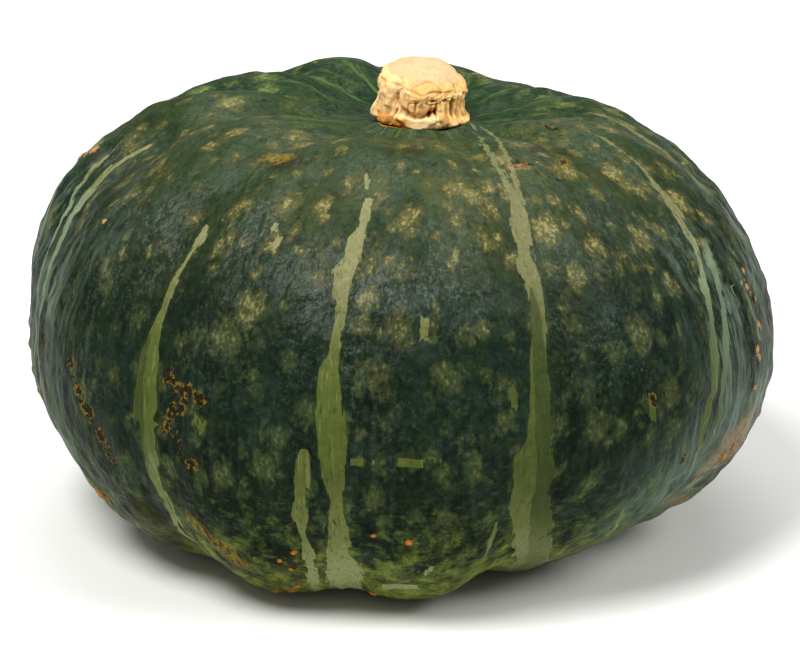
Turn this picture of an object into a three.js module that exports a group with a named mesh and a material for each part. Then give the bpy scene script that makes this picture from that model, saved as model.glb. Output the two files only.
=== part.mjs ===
// A kabocha squash: one ribbed, flattened fruit with its corky cut stem.
// Millimetres, +Z up. The front of the fruit faces -Y, and azimuths turn from the front towards +X.
// The origin is at the centre of the fruit's outline on the surface that it rests on.
import * as THREE from "three";

// ---- driving dimensions -------------------------------------------------------------------

const HALF_WIDTH = 90; // from the fruit's axis to its widest point
const DEPTH_SHARE = 0.97; // front-to-back size against the width
const CROWN_HEIGHT = 61.8; // from the widest level up to the crown, before the stem dimple
const SKIRT_HEIGHT = 62; // how far the underside would reach down if it stayed round
const BASE_HEIGHT = 49.5; // from the widest level down to the broad flattened underside
const BASE_SHARPNESS = 12; // higher makes the turn from the sides to the underside tighter
const CROWN_FULLNESS = 0.85; // below 1, the shoulders are squarer than an ellipse
const SKIRT_FULLNESS = 1.0;
const LOPSIDED = 0.082; // the +X side is this share flatter than the middle, the -X side fuller
const CROWN_LEAN = 5; // how far the stem end sits towards +X
const SKIRT_LEAN = -5; // how far the blossom end sits towards +X

const STEM_DIMPLE = { depth: 10.2, flatRadius: 9, width: 24 };
const BLOSSOM_DIMPLE = { depth: 5, flatRadius: 4, width: 15 };
const FLOOR_CUT = 1.5; // how much the weight of the fruit flattens its lowest ribs

// Each lobe starts at a groove, cut to a share of the usual depth. The lobe's crest swells or
// sinks a little at the crown and the skirt.
const LOBES = [
  { groove: -10, cut: 0.35, crown: 0, skirt: 1.8 },
  { groove: 21, cut: 1, crown: 0, skirt: -1 },
  { groove: 57, cut: 1, crown: 1.5, skirt: 1.5 },
  { groove: 91, cut: 1, crown: 0, skirt: 0 },
  { groove: 124, cut: 1, crown: -2, skirt: 0 },
  { groove: 157, cut: 1, crown: 0, skirt: 0 },
  { groove: 189, cut: 1, crown: 1, skirt: 0 },
  { groove: 221, cut: 1, crown: 1.5, skirt: 0 },
  { groove: 253, cut: 1, crown: 3, skirt: 0 },
  { groove: 283, cut: 1, crown: 1, skirt: -1 },
  { groove: 319, cut: 1, crown: 0, skirt: 1.8 },
];
const GROOVE_SHARPNESS = 4; // higher makes the grooves narrower between broad crests
const GROOVE_DEPTH = { crown: 1.8, middle: 0.9, skirt: 2.8 };

const STEM_GAP = 0.3; // clearance between the stem and its seat
const STEM_LEAN = 0.09; // sideways per unit of height, towards +X
// Radius and height above the seat, from the middle of the base to the middle of the cut top.
const STEM_PROFILE = [
  [0, 0],
  [6, 0],
  [10.4, 0],
  [11.5, 1],
  [11.4, 2.4],
  [10.8, 3.8],
  [10.4, 5.6],
  [10.5, 7.6],
  [10.5, 9.8],
  [10.1, 11.6],
  [9, 12.9],
  [6.6, 13.8],
  [3.4, 14.3],
  [0, 14.5],
];
// Ridges round the stem: how many, how high as a share of the radius, and the first crest's turn.
const STEM_RIDGES = [
  { count: 5, height: 0.04, turn: 0.6 },
  { count: 8, height: 0.03, turn: 1.9 },
];

const SEGMENTS_PER_LOBE = 8;
const FRUIT_ROWS = 36;
const STEM_SEGMENTS = 40;

// ---- the fruit's surface ------------------------------------------------------------------

const { smoothstep, degToRad } = THREE.MathUtils;

// A bowl with a flat floor and a soft rim.
function bowl(radius, { depth, flatRadius, width }) {
  const outside = Math.max(radius - flatRadius, 0);
  return depth * Math.exp(-((outside / width) ** 2));
}

// A drop below the widest level that levels off softly at the base's own drop.
function flattened(drop) {
  return drop / (1 + (drop / BASE_HEIGHT) ** BASE_SHARPNESS) ** (1 / BASE_SHARPNESS);
}

// The fruit is fuller on its -X side: how much of its usual height it has at a place.
function fullness(radius, azimuth) {
  return 1 - (LOPSIDED * radius * Math.sin(azimuth)) / HALF_WIDTH;
}

// Radius and height of the smooth profile, before ribs. Polar runs from 0 at the stem to PI.
function smoothProfile(polar, azimuth) {
  const onCrown = polar < Math.PI / 2;
  const sine = Math.max(Math.sin(polar), 0);
  const radius = HALF_WIDTH * sine ** (onCrown ? CROWN_FULLNESS : SKIRT_FULLNESS);
  const reach = fullness(radius, azimuth) * Math.abs(Math.cos(polar));
  const height = onCrown
    ? CROWN_HEIGHT * reach - bowl(radius, STEM_DIMPLE)
    : bowl(radius, BLOSSOM_DIMPLE) - flattened(SKIRT_HEIGHT * reach);
  return new THREE.Vector2(radius, height);
}

// The outward direction of the profile, square to it.
function profileNormal(polar, azimuth) {
  const step = 1e-4;
  const above = smoothProfile(Math.max(polar - step, 0), azimuth);
  const below = smoothProfile(Math.min(polar + step, Math.PI), azimuth);
  const along = below.sub(above).normalize();
  return new THREE.Vector2(-along.y, along.x);
}

// 1 between the polar angles rise[1] and fall[0], and 0 outside rise[0] and fall[1].
function band(polar, rise, fall) {
  return smoothstep(polar, ...rise) * (1 - smoothstep(polar, ...fall));
}

// How far the surface stands out from the smooth profile at a place across a lobe, 0 to 1.
function ribHeight(polar, lobe, nextLobe, across) {
  const cut = across < 0.5 ? lobe.cut : nextLobe.cut;
  const valley = cut * Math.abs(Math.cos(Math.PI * across)) ** GROOVE_SHARPNESS;
  const crest = Math.sin(Math.PI * across) ** 2;
  const depth =
    GROOVE_DEPTH.crown * band(polar, [0.08, 0.3], [0.8, 1.5]) +
    GROOVE_DEPTH.middle * band(polar, [0.8, 1.5], [1.6, 2.3]) +
    GROOVE_DEPTH.skirt * band(polar, [1.6, 2.3], [2.6, 3.0]);
  const swell =
    lobe.crown * band(polar, [0.1, 0.5], [0.9, 1.6]) +
    lobe.skirt * band(polar, [1.5, 2.1], [2.3, 2.75]);
  return crest * swell - valley * depth;
}

// A point at a radius, azimuth and height. Towards the axis it leans with the fruit's two ends.
function place(radius, azimuth, height) {
  const lean = (height > 0 ? CROWN_LEAN : SKIRT_LEAN) * (1 - radius / HALF_WIDTH);
  const x = radius * Math.sin(azimuth) + lean;
  const y = -DEPTH_SHARE * radius * Math.cos(azimuth);
  return new THREE.Vector3(x, y, height);
}

const FLOOR = FLOOR_CUT - BASE_HEIGHT;

// A point of the fruit, where turn runs once round from 0 to 1 and polar from 0 to PI.
function fruitPoint(turn, polar) {
  const position = turn * LOBES.length;
  const index = Math.min(Math.floor(position), LOBES.length - 1);
  const across = position - index;
  const lobe = LOBES[index];
  const nextLobe = LOBES[(index + 1) % LOBES.length];
  const width = (nextLobe.groove - lobe.groove + 360) % 360;
  const azimuth = degToRad(lobe.groove + across * width);
  const normal = profileNormal(polar, azimuth);
  const rib = ribHeight(polar, lobe, nextLobe, across);
  const profile = smoothProfile(polar, azimuth).addScaledVector(normal, rib);
  const point = place(Math.max(profile.x, 0), azimuth, profile.y);
  point.z = Math.max(point.z, FLOOR);
  return point;
}

// ---- meshes -------------------------------------------------------------------------------

// A closed lathe whose every vertex is then moved to where pointAt(turn, rise) puts it.
function shapedLathe(rows, segments, pointAt) {
  const outline = [];
  for (let row = 0; row <= rows; row++) {
    const polar = Math.PI * (1 - row / rows);
    const radius = row % rows === 0 ? 0 : Math.sin(polar);
    outline.push(new THREE.Vector2(radius, Math.cos(polar)));
  }
  const geometry = new THREE.LatheGeometry(outline, segments);
  const position = geometry.getAttribute("position");
  const uv = geometry.getAttribute("uv");
  for (let i = 0; i < position.count; i++) {
    const turn = uv.getX(i) > 0.999999 ? 0 : uv.getX(i);
    position.setXYZ(i, ...pointAt(turn, uv.getY(i)));
  }
  geometry.computeVertexNormals();
  return geometry;
}

function makeFruit() {
  const segments = SEGMENTS_PER_LOBE * LOBES.length;
  const geometry = shapedLathe(FRUIT_ROWS, segments, (turn, rise) =>
    fruitPoint(rise < 1 && rise > 0 ? turn : 0, Math.PI * (1 - rise)),
  );
  const rind = new THREE.MeshStandardMaterial({ color: 0x2b4434, roughness: 0.42, metalness: 0 });
  const fruit = new THREE.Mesh(geometry, rind);
  fruit.name = "fruit";
  return fruit;
}

function makeStem() {
  const rows = STEM_PROFILE.length - 1;
  const seat = smoothProfile(0, 0).y; // the dimple's floor is highest in its middle
  const geometry = shapedLathe(rows, STEM_SEGMENTS, (turn, rise) => {
    const [radius, height] = STEM_PROFILE[Math.round(rise * rows)];
    const azimuth = 2 * Math.PI * turn;
    let ridges = 1;
    for (const { count, height: share, turn: first } of STEM_RIDGES) {
      ridges += share * Math.cos(count * azimuth + first);
    }
    const base = seat * fullness(radius, azimuth) + STEM_GAP; // parallel to the sloping seat
    const point = place(radius * ridges, azimuth, base + height);
    point.x += STEM_LEAN * height;
    return point;
  });
  const cork = new THREE.MeshStandardMaterial({ color: 0xd9b27a, roughness: 0.85, metalness: 0 });
  const stem = new THREE.Mesh(geometry, cork);
  stem.name = "stem";
  return stem;
}

const squash = new THREE.Group();
squash.add(makeFruit(), makeStem());

// The fruit stands on z = 0 with the middle of its outline over the origin.
const outline = new THREE.Box3().setFromObject(squash, true);
const middle = outline.getCenter(new THREE.Vector3());
squash.position.set(-middle.x, -middle.y, -outline.min.z);

export default squash;
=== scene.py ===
# A kabocha squash on a pale floor. The frame gives the box of each solid, and the pieces here
# are shaped in millimetres and put into that box. Azimuths turn from the front towards +X.
import math
from types import SimpleNamespace

import bpy
import numpy as np
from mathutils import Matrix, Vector


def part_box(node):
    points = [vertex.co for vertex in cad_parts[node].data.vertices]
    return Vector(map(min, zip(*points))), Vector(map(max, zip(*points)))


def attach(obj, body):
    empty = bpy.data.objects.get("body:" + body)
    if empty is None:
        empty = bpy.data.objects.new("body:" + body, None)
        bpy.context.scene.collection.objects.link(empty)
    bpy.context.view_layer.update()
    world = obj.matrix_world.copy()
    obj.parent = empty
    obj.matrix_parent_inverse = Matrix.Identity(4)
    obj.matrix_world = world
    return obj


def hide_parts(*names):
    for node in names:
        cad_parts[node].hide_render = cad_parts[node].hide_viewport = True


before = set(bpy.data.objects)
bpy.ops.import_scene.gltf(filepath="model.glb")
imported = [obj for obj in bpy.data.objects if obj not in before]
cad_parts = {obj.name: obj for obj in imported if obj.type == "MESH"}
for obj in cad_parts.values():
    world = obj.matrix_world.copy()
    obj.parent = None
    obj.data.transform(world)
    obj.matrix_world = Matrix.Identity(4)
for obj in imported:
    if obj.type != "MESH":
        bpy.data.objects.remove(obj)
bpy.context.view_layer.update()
print("frame loaded:", sorted(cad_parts))

mm = 0.001


# Goes from 0 at low to 1 at high along 3t^2 - 2t^3, and is level outside them.
def ease(value, low, high):
    part = np.clip((value - low) / (high - low), 0, 1)
    return part * part * (3 - 2 * part)


# 1 between the end of the rise and the start of the fall, and 0 outside both: one ease, less the other.
def band(value, rise, fall):
    return ease(value, *rise) * (1 - ease(value, *fall))


# Value noise from -1 to 1: seeded random numbers at whole-number places, blended in x, y and z by
# 3t^2 - 2t^3.
def latticeNoise(place, seed):
    cell = np.floor(place).astype(np.int64)
    part = place - cell
    part = part * part * (3 - 2 * part)
    total = np.zeros(place.shape[:-1])
    for corner in np.ndindex(2, 2, 2):
        at = cell + np.array(corner)
        mixed = at[..., 0] * 73856093 ^ at[..., 1] * 19349663 ^ at[..., 2] * 83492791 ^ seed * 2654435761
        mixed = (mixed ^ (mixed >> 13)) * 1274126177 & 0xFFFFFFFF
        mixed = (mixed ^ (mixed >> 15)) * 668265263 & 0xFFFFFFFF
        share = np.prod(np.where(np.array(corner) == 1, part, 1 - part), axis=-1)
        total += ((mixed >> 8) & 0xFFFF) / 65535 * share
    return total * 2 - 1


# Layers of noise, each half the size and a little over half the strength of the last.
def layeredNoise(place, size, seed, layers=3):
    total, strength = 0, 1
    for layer in range(layers):
        total = total + strength * latticeNoise(place / size * 2**layer + 17.3 * layer, seed + layer)
        strength *= 0.55
    return total


# Angle differences brought into -180 to 180 degrees.
def turned(degrees):
    return (degrees + 180) % 360 - 180


# A point at a radius, azimuth and height round an upright axis.
def around(radius, azimuth, height):
    return np.stack([radius * np.sin(azimuth), -radius * np.cos(azimuth), height], -1)


# Rows of points that run round an axis, between one point at each end, made into a closed mesh. place and
# each field hold rows x columns x 3, and place's first and last rows are each one point repeated. Where the
# rows run up the axis, the faces are turned round to look outward.
def closedMesh(name, place, fields, material):
    rows, columns = place.shape[:2]

    def folded(grid):
        return np.concatenate([grid[:1, 0], grid[1:-1].reshape(-1, *grid.shape[2:]), grid[-1:, 0]])

    points = folded(place) * mm
    number = 1 + np.arange((rows - 2) * columns).reshape(rows - 2, columns)
    beside = np.roll(number, -1, axis=1)
    last = len(points) - 1
    quads = np.stack([number[:-1], number[1:], beside[1:], beside[:-1]], -1).reshape(-1, 4)
    firstFan = np.stack([np.zeros(columns, int), number[0], beside[0]], -1)
    lastFan = np.stack([np.full(columns, last), beside[-1], number[-1]], -1)
    mesh = bpy.data.meshes.new(name)
    mesh.from_pydata(points.tolist(), [], quads.tolist() + firstFan.tolist() + lastFan.tolist())
    for fieldName, field in fields.items():
        layer = mesh.attributes.new(fieldName, "FLOAT_VECTOR", "POINT")
        layer.data.foreach_set("vector", folded(field).astype(np.float32).ravel())
    mesh.polygons.foreach_set("use_smooth", np.ones(len(mesh.polygons), bool))
    if points[0, 2] < points[-1, 2]:
        mesh.flip_normals()
    mesh.materials.append(material)
    mesh.validate()
    mesh.update()
    piece = bpy.data.objects.new(name, mesh)
    bpy.context.scene.collection.objects.link(piece)
    return piece


# One output of a material's node, with the hex codes of the material's colours by name. Sums, products and
# powers of wires add Math nodes beside it.
class Wire:
    def __init__(self, tree, look, socket=None):
        self.tree = tree
        self.look = look
        self.socket = socket

    # Adds a node: its settings first, then the value or the wire of each named input.
    def node(self, kind, settings=None, inputs=None, output=0):
        made = self.tree.nodes.new(kind)
        for name, value in (settings or {}).items():
            setattr(made, name, value)
        for name, value in (inputs or {}).items():
            if isinstance(value, Wire):
                self.tree.links.new(value.socket, made.inputs[name])
            else:
                made.inputs[name].default_value = value
        return None if output is None else Wire(self.tree, self.look, made.outputs[output])

    def maths(self, operation, *values):
        return self.node("ShaderNodeMath", {"operation": operation}, dict(enumerate(values)))

    def __add__(self, other):
        return self.maths("ADD", self, other)

    def __sub__(self, other):
        return self.maths("SUBTRACT", self, other)

    def __rsub__(self, other):
        return self.maths("SUBTRACT", other, self)

    def __mul__(self, other):
        return self.maths("MULTIPLY", self, other)

    def __truediv__(self, other):
        return self.maths("DIVIDE", self, other)

    def __pow__(self, other):
        return self.maths("POWER", self, other)

    def __abs__(self):
        return self.maths("ABSOLUTE", self)

    __radd__ = __add__
    __rmul__ = __mul__

    # The greater of two wires.
    def most(self, other):
        return self.maths("MAXIMUM", self, other)

    # 0 at low and 1 at high, eased between them. Low may be above high.
    def ramp(self, low, high):
        ends = {"Value": self, "From Min": low, "From Max": high}
        return self.node("ShaderNodeMapRange", {"interpolation_type": "SMOOTHSTEP"}, ends)

    # A vector with each of its directions scaled by its own share, then moved.
    def stretched(self, share, move=(0, 0, 0)):
        return self.node("ShaderNodeVectorMath", {"operation": "MULTIPLY_ADD"}, {0: self, 1: share, 2: move})

    # The three numbers of a vector or of a colour.
    def parts(self):
        kind = "ShaderNodeSeparateColor" if self.socket.type == "RGBA" else "ShaderNodeSeparateXYZ"
        split = self.node(kind, None, {0: self})
        return [Wire(self.tree, self.look, socket) for socket in split.socket.node.outputs]

    # The vector moved on by up to the given reach along each axis, as coloured noise of the given size says.
    def bent(self, size, reach):
        inputs = {"Vector": self, "Scale": 1 / size, "Detail": 1}
        colour = self.node("ShaderNodeTexNoise", None, inputs, "Color")
        step = self.node("ShaderNodeCombineXYZ", None, dict(enumerate(colour.parts())))
        return step.stretched((reach,) * 3, self)

    # Soft noise from 0 to 1 whose grain has the given size, in the vector's own units.
    def noise(self, size, detail=2, roughness=0.5, move=(0, 0, 0)):
        place = self.stretched((1, 1, 1), [step * size for step in move]) if any(move) else self
        inputs = {"Vector": place, "Scale": 1 / size, "Detail": detail, "Roughness": roughness}
        return self.node("ShaderNodeTexNoise", None, inputs, "Fac")

    # Cells of the given size: for each, its distance and its colour, which are read by name.
    def cells(self, size, metric="EUCLIDEAN", feature="F1", looseness=1, move=(0, 0, 0)):
        place = self.stretched((1 / size,) * 3, move)
        settings = {"distance": metric, "feature": feature}
        inputs = {"Vector": place, "Scale": 1, "Randomness": looseness}
        made = self.node("ShaderNodeTexVoronoi", settings, inputs)
        return {output.name: Wire(self.tree, self.look, output) for output in made.socket.node.outputs}

    # The vector that the mesh keeps for each vertex under the given name.
    def kept(self, name):
        return self.node("ShaderNodeAttribute", {"attribute_name": name}, output="Vector")

    # One of the look's colours all over.
    def plain(self, name):
        made = self.node("ShaderNodeRGB")
        made.socket.default_value = tint(self.look[name])
        return made

    # A colour, given as a wire or by its name in the look, laid over this one by a share from 0 to 1.
    def painted(self, share, colour):
        over = colour if isinstance(colour, Wire) else tint(self.look[colour])
        return self.node("ShaderNodeMix", {"data_type": "RGBA"}, {0: share, 6: self, 7: over}, 2)

    # Colours laid over this one in turn, from pairs of a share and a colour.
    def layered(self, paints):
        colour = self
        for share, over in paints:
            colour = colour.painted(share, over)
        return colour


# A linear colour with full alpha from the usual two-digit hex parts: past a short straight start, each part
# grows with the power 2.4.
def tint(code):
    parts = [int(code[i : i + 2], 16) / 255 for i in (0, 2, 4)]
    linear = [p / 12.92 if p <= 0.04045 else ((p + 0.055) / 1.055) ** 2.4 for p in parts]
    return (*linear, 1)


# A new material of the given name and look, and a wire that its nodes are made from.
def newFinish(name, look):
    material = bpy.data.materials.new(name)
    material.use_nodes = True
    material.node_tree.nodes.clear()
    return material, Wire(material.node_tree, look)


# Joins a colour, a roughness and a height in millimetres to a surface of the given gloss. Where a share is
# given, the surface goes over to one of another gloss by that share.
def finishSurface(pen, colour, roughness, height, gloss, otherGloss=None, share=None):
    normal = pen.node("ShaderNodeBump", None, {"Height": height, "Strength": 1, "Distance": mm})
    inputs = {"Base Color": colour, "Roughness": roughness, "Normal": normal}
    surface = pen.node("ShaderNodeBsdfPrincipled", None, {**inputs, "Specular IOR Level": gloss})
    if share is not None:
        waxy = pen.node("ShaderNodeBsdfPrincipled", None, {**inputs, "Specular IOR Level": otherGloss})
        surface = pen.node("ShaderNodeMixShader", None, {0: share, 1: surface, 2: waxy})
    pen.node("ShaderNodeOutputMaterial", None, {"Surface": surface}, None)


# The fruit's shape, in millimetres. Lobes are given in degrees.
fruitShape = {
    "halfWidth": 90,
    "depthShare": 0.97,
    "crownHeight": 61.8,
    "skirtHeight": 62,
    "baseHeight": 49.5,
    "baseSharpness": 12,
    "crownFullness": 0.85,
    "skirtFullness": 1.0,
    "lopsided": 0.082,
    "crownLean": 5,
    "skirtLean": -5,
    "stemDimple": (10.2, 9, 24),  # depth, flat radius, width
    "blossomDimple": (5, 4, 15),
    "floorCut": 1.5,
    # each lobe: the groove that it starts at, that groove's cut, and its crest's swell at crown and skirt
    "lobes": [
        (-10, 0.35, 0, 1.8),
        (21, 1, 0, -1),
        (57, 1, 1.5, 1.5),
        (91, 1, 0, 0),
        (124, 1, -2, 0),
        (157, 1, 0, 0),
        (189, 1, 1, 0),
        (221, 1, 1.5, 0),
        (253, 1, 3, 0),
        (283, 1, 1, -1),
        (319, 1, 0, 1.8),
    ],
    "grooveSharpness": 4,
    "grooveDepth": (1.8, 0.9, 2.8),  # at the crown, the middle and the skirt
    "columns": 440,
    # polar angle at the end of each band of rows, and how many rows it holds
    "rowBands": [(0.2, 32), (2.6, 170), (math.pi, 22)],
}


# A bowl with a flat floor and a soft rim.
def bowl(radius, dimple):
    depth, flatRadius, width = dimple
    return depth * np.exp(-((np.maximum(radius - flatRadius, 0) / width) ** 2))


# How much of its usual height the fruit has: less towards +X, more towards -X.
def fullness(radius, azimuth):
    return 1 - fruitShape["lopsided"] * radius * np.sin(azimuth) / fruitShape["halfWidth"]


# Radius and height of the smooth profile: an ellipse-like curve of the polar angle with a dimple at
# each end, whose drop below the widest level flattens off at the base.
def smoothProfile(polar, azimuth):
    shape = fruitShape
    onCrown = polar < math.pi / 2
    power = np.where(onCrown, shape["crownFullness"], shape["skirtFullness"])
    radius = shape["halfWidth"] * np.maximum(np.sin(polar), 0) ** power
    reach = fullness(radius, azimuth) * np.abs(np.cos(polar))
    drop = shape["skirtHeight"] * reach
    sharp = shape["baseSharpness"]
    flattened = drop / (1 + (drop / shape["baseHeight"]) ** sharp) ** (1 / sharp)
    crown = shape["crownHeight"] * reach - bowl(radius, shape["stemDimple"])
    skirt = bowl(radius, shape["blossomDimple"]) - flattened
    return radius, np.where(onCrown, crown, skirt)


# The profile's outward direction, from a small step along it.
def profileNormal(polar, azimuth):
    step = 1e-4
    above = smoothProfile(np.maximum(polar - step, 0), azimuth)
    below = smoothProfile(np.minimum(polar + step, math.pi), azimuth)
    outward, upward = above[1] - below[1], below[0] - above[0]
    length = np.hypot(outward, upward)
    return outward / length, upward / length


# How far ribs stand out: sin^2 crests between |cos|^n valleys, each with its own strength along the profile.
def ribHeight(polar, azimuth):
    lobes = np.array(fruitShape["lobes"], float)
    starts = lobes[:, 0]
    degrees = (np.degrees(azimuth) - starts[0]) % 360 + starts[0]
    index = np.searchsorted(starts, degrees, "right") - 1
    following = (index + 1) % len(lobes)
    width = (starts[following] - starts[index]) % 360
    across = (degrees - starts[index]) / width
    cut = np.where(across < 0.5, lobes[index, 1], lobes[following, 1])
    valley = cut * np.abs(np.cos(math.pi * across)) ** fruitShape["grooveSharpness"]
    crest = np.sin(math.pi * across) ** 2
    crown, middle, skirt = fruitShape["grooveDepth"]
    depth = crown * band(polar, (0.08, 0.3), (0.8, 1.5))
    depth = depth + middle * band(polar, (0.8, 1.5), (1.6, 2.3))
    depth = depth + skirt * band(polar, (1.6, 2.3), (2.6, 3.0))
    swell = lobes[index, 2] * band(polar, (0.1, 0.5), (0.9, 1.6))
    swell = swell + lobes[index, 3] * band(polar, (1.5, 2.1), (2.3, 2.75))
    return crest * swell - valley * depth


# A point at a radius, azimuth and height, leaning with the fruit's two ends towards the axis.
def placed(radius, azimuth, height):
    shape = fruitShape
    lean = np.where(height > 0, shape["crownLean"], shape["skirtLean"])
    x = radius * np.sin(azimuth) + lean * (1 - radius / shape["halfWidth"])
    y = -shape["depthShare"] * radius * np.cos(azimuth)
    return np.stack([x, y, height], -1)


# The ribbed fruit's skin, moved out along its normal by the given relief and flat where it stands.
def fruitSkin(polar, azimuth, relief):
    radius, height = smoothProfile(polar, azimuth)
    outward, upward = profileNormal(polar, azimuth)
    stand = ribHeight(polar, azimuth) + relief
    radius = np.maximum(radius + outward * stand, 0)
    point = placed(radius, azimuth, height + upward * stand)
    floor = fruitShape["floorCut"] - fruitShape["baseHeight"]
    point[..., 2] = np.maximum(point[..., 2], floor)
    return point


# Each stripe is a run of (azimuth, polar, half width), in degrees and millimetres.
stripes = {
    "leftFront": [
        (-41.2, 48, 0.5), (-40.6, 49, 0.9), (-40.4, 51, 1.4), (-40.7, 53, 1), (-40.9, 54, 0.45),
        (-40.7, 58, 0.45), (-40.9, 62, 0.85), (-40.6, 66, 1.1), (-40.6, 70, 1.3), (-40.6, 73, 1.7),
        (-40.6, 76, 2.5), (-40.4, 81, 2.7), (-40.6, 86, 3.1), (-40.7, 89.5, 3.2), (-39.8, 90.5, 2.4),
        (-39.6, 94, 2.3), (-40, 98, 2), (-40.4, 102, 1.7), (-40.4, 106, 1.3), (-39.9, 110, 1.2),
        (-40.6, 118, 1.1), (-42, 128, 1), (-44, 142, 0.7),
    ],
    "centre": [
        (-8.7, 36.5, 0.8), (-9, 38, 1), (-8.8, 43, 1.1), (-9.5, 46, 1.9), (-9.5, 50, 1.7), (-10.6, 53, 2.3),
        (-10.6, 57, 2.1), (-10, 60, 1.4), (-9.9, 65, 1.2), (-10.2, 70, 1.3), (-10.7, 73, 2), (-10.5, 76, 2.7),
        (-10.2, 80, 2.8), (-10, 84, 3), (-9.8, 88, 2.9), (-9.6, 92, 2.5), (-9.5, 95, 2.8), (-9.7, 98, 2),
        (-9.6, 101, 1.4), (-9.6, 104, 1.4), (-9.5, 108, 2), (-9.5, 112, 2.3), (-9.6, 116, 2.9),
        (-9.3, 120, 3.6), (-9.2, 126, 4), (-10, 135, 4), (-12, 148, 2.6), (-14, 160, 1),
    ],
    "rightFront": [
        (25.2, 35, 1.1), (24.4, 39, 1.9), (23.5, 42, 2.2), (23.3, 45, 2), (22.7, 48, 1.6), (22.4, 51, 2.1),
        (22.2, 53, 2.1), (22.6, 57, 1.7), (22.1, 61, 1.8), (21.7, 65, 1.8), (21.1, 69, 1.8), (20.7, 73, 2.1),
        (20.6, 78, 2.4), (20.4, 84, 2.6), (20.2, 88, 2.9), (19.9, 90.5, 3.4), (19.4, 92, 4.6),
        (19.5, 96, 5.2), (19.8, 100, 5), (19.9, 104, 5.1), (20.8, 108, 4.9), (21.8, 112, 4.6), (23, 118, 4.5),
        (25, 124, 4.4), (27.4, 130, 4.2), (30, 142, 3), (33, 156, 1),
    ],
    "right": [
        (70, 25, 0.2), (67, 34, 0.6), (66, 38, 0.7), (64.4, 44, 0.9), (63.4, 49, 0.9), (62, 53, 0.95),
        (60.8, 57, 0.9), (59.6, 61, 0.9), (58.2, 65, 1.4), (57.4, 68, 1.6), (56.6, 71, 1.2), (55.8, 75, 1.2),
        (54.8, 78, 2), (54.3, 82, 2), (53.9, 87, 1.7), (52.8, 90, 1.8), (51.8, 94, 1.7), (51.6, 98, 1.1),
        (52.4, 104, 0.9), (53.6, 112, 0.7), (56, 130, 0.6), (58, 140, 0.2),
    ],
    "left": [
        (-80.5, 40, 0.4), (-81.2, 48, 0.9), (-80.9, 57, 0.8), (-79, 64, 0.9), (-77, 70, 1), (-75, 76, 0.9),
        (-73.4, 83, 1.1), (-73, 92, 1.2), (-74, 104, 1.3), (-76, 118, 1), (-79, 134, 0.9), (-82, 148, 0.4),
    ],
    "rightBack": [
        (98, 24, 0.3), (95, 38, 0.9), (93, 50, 1.4), (91.4, 58, 0.9), (91, 66, 2.1), (90, 80, 2.4),
        (90.6, 90, 1.4), (91.4, 96, 2.6), (92, 106, 2), (93.4, 118, 2.9), (96, 134, 2.4), (99, 150, 1),
    ],
    "backRight": [
        (121, 30, 0.5), (123, 41, 1.2), (124.6, 48, 1.9), (124, 56, 1.3), (123.6, 64, 1), (124.2, 72, 2.4),
        (125, 84, 3), (124.6, 94, 2.1), (124, 104, 3.4), (123, 116, 3.6), (122, 130, 3), (119, 152, 1),
    ],
    "back": [
        (161, 26, 0.4), (158.4, 36, 1.1), (157.2, 46, 2), (157, 55, 1.1), (156.4, 62, 1.5), (156.8, 72, 1),
        (157.6, 80, 2.4), (157.2, 90, 2.9), (156.6, 100, 1.6), (157.4, 112, 2.6), (159, 128, 3.2),
        (162, 150, 1.4),
    ],
    "backLeft": [
        (187, 32, 0.6), (188.4, 42, 1.3), (189.4, 52, 1.7), (189, 60, 0.6), (188.6, 68, 1.6),
        (189.4, 78, 2.6), (190, 88, 2.2), (189.2, 98, 3.2), (188.6, 110, 2.2), (188, 124, 2.8), (186, 140, 2),
        (184, 154, 0.8),
    ],
    "leftBack": [
        (226, 28, 0.4), (223, 40, 1), (221.4, 50, 1.6), (221.8, 60, 2), (221, 70, 1.2), (220.4, 80, 1.8),
        (221, 92, 3), (222, 102, 2.4), (222.4, 114, 1.6), (223.6, 128, 2.6), (226, 146, 1.4), (228, 156, 0.6),
    ],
    "leftRear": [
        (249, 26, 0.4), (251, 38, 1), (253, 48, 1.4), (254.4, 56, 1.9), (254, 66, 1.4), (253.4, 78, 1),
        (253.8, 88, 2.2), (254.6, 98, 2.8), (254, 110, 1.8), (252.6, 126, 2.2), (250, 146, 1),
    ],
}

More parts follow.
